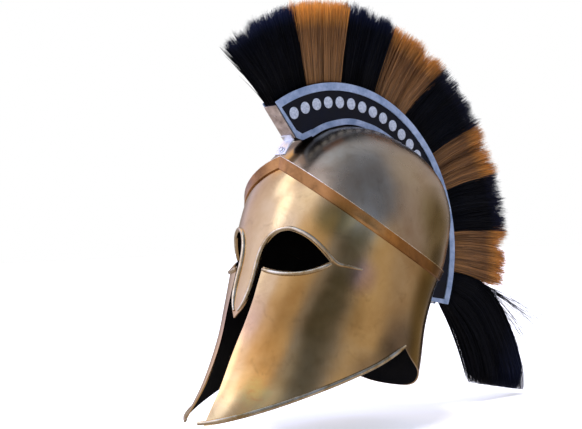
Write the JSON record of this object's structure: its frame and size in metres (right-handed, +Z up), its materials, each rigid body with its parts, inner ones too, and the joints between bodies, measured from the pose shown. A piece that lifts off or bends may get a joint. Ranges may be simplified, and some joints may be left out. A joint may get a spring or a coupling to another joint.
{
  "type": "corinthian helmet",
  "caption": "Full-face sheet metal helmet with almond eye openings, a nose guard, long pointed cheeks and a fore-and-aft crest box with a striped hair plume.",
  "frame": {"origin": "the highest point inside the crown, on the middle line, where the helmet sits on the wearer's head", "axes": "+X to the wearer's left, +Y to the back, +Z up with the head upright; the face looks along -Y"},
  "size_m": [0.1932, 0.479, 0.4286],
  "materials": {
    "brass_skull": "polished antique brass plate, greyer and more clouded than the face",
    "brass_face": "polished antique brass plate with faint brushing, black paint inside",
    "rim_metal": "bright worn brass wire",
    "black_leather": "matt black, slightly grained",
    "silver_trim": "dull blue-silver",
    "plate_metal": "dull warm grey",
    "bracket_steel": "bright plated steel",
    "black_hair": "coarse dyed hair, blue-black",
    "orange_hair": "coarse dyed hair, brown at the roots and orange at the tips"
  },
  "bodies": {
    "root": {"skull_dome": "brass_skull", "face_shell": "brass_face", "brow_ridge": "brass_face", "upper_eye_rim_left": "rim_metal", "upper_eye_rim_right": "rim_metal", "lower_eye_rim_left": "rim_metal", "lower_eye_rim_right": "rim_metal", "cheek_rim_left": "rim_metal", "cheek_rim_right": "rim_metal", "crest_core": "black_leather", "crest_panel_left": "black_leather", "crest_panel_right": "black_leather", "crest_frame_left": "silver_trim", "crest_frame_right": "silver_trim", "crest_front_plate": "plate_metal", "front_plate_pin": "plate_metal", "front_bracket": "bracket_steel", "front_rivet": "bracket_steel", "rear_bracket": "bracket_steel", "rear_rivet": "bracket_steel", "plume_1_black": "black_hair", "plume_2_orange": "orange_hair", "plume_3_black": "black_hair", "plume_4_orange": "orange_hair", "plume_5_black": "black_hair", "plume_6_orange": "orange_hair", "plume_7_black": "black_hair", "plume_8_orange": "orange_hair", "plume_9_tail": "black_hair"}
  },
  "joints": []
}
